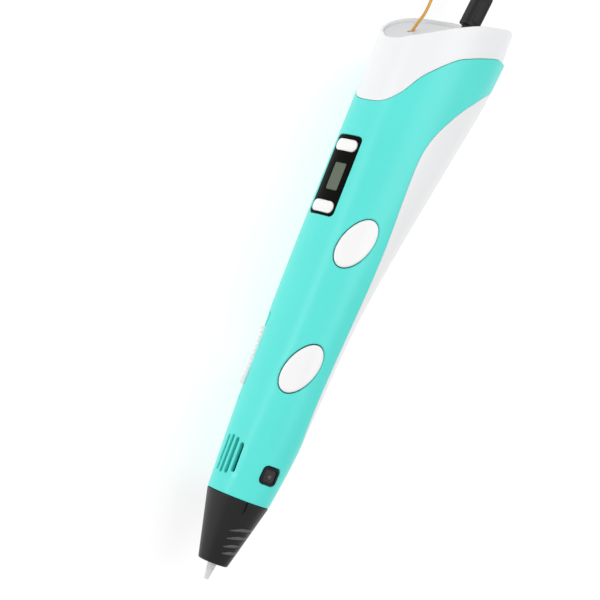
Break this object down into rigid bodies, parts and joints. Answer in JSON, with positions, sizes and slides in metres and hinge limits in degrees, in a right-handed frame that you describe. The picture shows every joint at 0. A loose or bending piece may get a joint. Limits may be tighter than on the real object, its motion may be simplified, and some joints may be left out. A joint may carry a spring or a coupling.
{
  "type": "three d pen",
  "caption": "Hand-held filament drawing pen: tapered two-tone casing, black nose cone, ceramic nozzle, display, oval feed keys, speed slider and geared feed drive.",
  "frame": {"origin": "centre of the orifice at the nozzle's tip", "axes": "+X along the pen's axis from the tip to the rear, +Y towards the display side, +Z towards the side with the two oval keys; the pen lies on its other side"},
  "size_m": [0.216, 0.0426, 0.031],
  "materials": {
    "teal_shell": "satin",
    "white_shell": "satin",
    "black_plastic": "matt moulded",
    "white_key": "satin",
    "display_panel": "gloss",
    "display_glass": "clear",
    "ceramic": "unglazed",
    "steel": "brushed",
    "spring_steel": "drawn wire",
    "chip_black": "matt",
    "copper_wire": "enamelled",
    "board_green": "solder mask",
    "nylon": "natural",
    "dark_frame": "matt",
    "ptfe": "smooth",
    "fibre_sleeve": "woven glass fibre",
    "motor_can": "plated",
    "brass": "machined",
    "red_wire": "matt",
    "cable_black": "matt"
  },
  "bodies": {
    "casing": {"front_shell": "teal_shell", "back_shell": "white_shell", "rear_cap": "white_shell", "nose_cone": "black_plastic", "nozzle": "ceramic", "heater_tube": "steel", "heater_winding": "copper_wire", "insulation_sleeve": "fibre_sleeve", "thermistor": "chip_black", "hotend_holder": "dark_frame", "feed_tube": "ptfe", "inlet_tube": "ptfe", "extruder_frame": "dark_frame", "idler_spring": "spring_steel", "gearbox_housing": "dark_frame", "feed_motor": "motor_can", "main_board": "board_green", "board_chips": "chip_black", "lcd_module": "dark_frame", "display_bezel": "display_panel", "display_window": "display_glass", "panel_switches": "chip_black", "key_boards": "board_green", "key_switches": "chip_black", "slide_pot": "motor_can", "power_jack": "chip_black", "jack_pin": "steel", "case_screws": "steel", "heater_wires": "red_wire", "motor_wires": "red_wire"},
    "drive": {"drive_gear": "nylon", "hobbed_wheel": "steel"},
    "pinion": {"motor_pinion": "brass"},
    "arm": {"idler_arm": "dark_frame", "idler_pins": "steel"},
    "bearing": {"idler_bearing": "steel"},
    "extrude_key": {"extrude_button": "white_key"},
    "retract_key": {"retract_button": "white_key"},
    "temp_up_key": {"temp_up_button": "white_key"},
    "temp_down_key": {"temp_down_button": "white_key"},
    "latch": {"nose_latch": "black_plastic"},
    "slider": {"speed_slider": "white_key"},
    "plug": {"plug_body": "cable_black", "plug_sleeve": "steel", "power_cable": "cable_black"}
  },
  "joints": [
    {"name": "extrude_press", "type": "slide", "parent": "casing", "child": "extrude_key", "axis": [0, -0.5373, -0.8434], "range_m": [0, 0.0006]},
    {"name": "retract_press", "type": "slide", "parent": "casing", "child": "retract_key", "axis": [0, -0.5373, -0.8434], "range_m": [0, 0.0006]},
    {"name": "temp_up_press", "type": "slide", "parent": "casing", "child": "temp_up_key", "axis": [0, -1, 0], "range_m": [0, 0.0003]},
    {"name": "temp_down_press", "type": "slide", "parent": "casing", "child": "temp_down_key", "axis": [0, -1, 0], "range_m": [0, 0.0003]},
    {"name": "latch_press", "type": "slide", "parent": "casing", "child": "latch", "axis": [0, 0, -1], "range_m": [0, 0.001]},
    {"name": "speed_slide", "type": "slide", "parent": "casing", "child": "slider", "axis": [1, 0, 0], "range_m": [-0.004, 0.004]},
    {"name": "drive_spin", "type": "hinge", "parent": "casing", "child": "drive", "pos_m": [0.086, -0.00487, 0], "axis": [0, 0, 1], "continuous": true},
    {"name": "pinion_spin", "type": "hinge", "parent": "casing", "child": "pinion", "pos_m": [0.09221, -0.00852, 0], "axis": [0, 0, 1], "continuous": true},
    {"name": "idler_swing", "type": "hinge", "parent": "casing", "child": "arm", "pos_m": [0.094, 0.0042, 0], "axis": [0, 0, 1], "range_deg": [-2.5, 0], "deforming": ["idler_spring"]},
    {"name": "bearing_spin", "type": "hinge", "parent": "arm", "child": "bearing", "pos_m": [0.086, 0.00387, 0], "axis": [0, 0, 1], "continuous": true},
    {"name": "plug_pull", "type": "slide", "parent": "casing", "child": "plug", "axis": [0.9925, -0.1219, 0], "range_m": [0, 0.014]}
  ],
  "couplings": [
    {"joint": "pinion_spin", "follows": "drive_spin", "ratio": -2},
    {"joint": "bearing_spin", "follows": "drive_spin", "ratio": -1.3333}
  ]
}
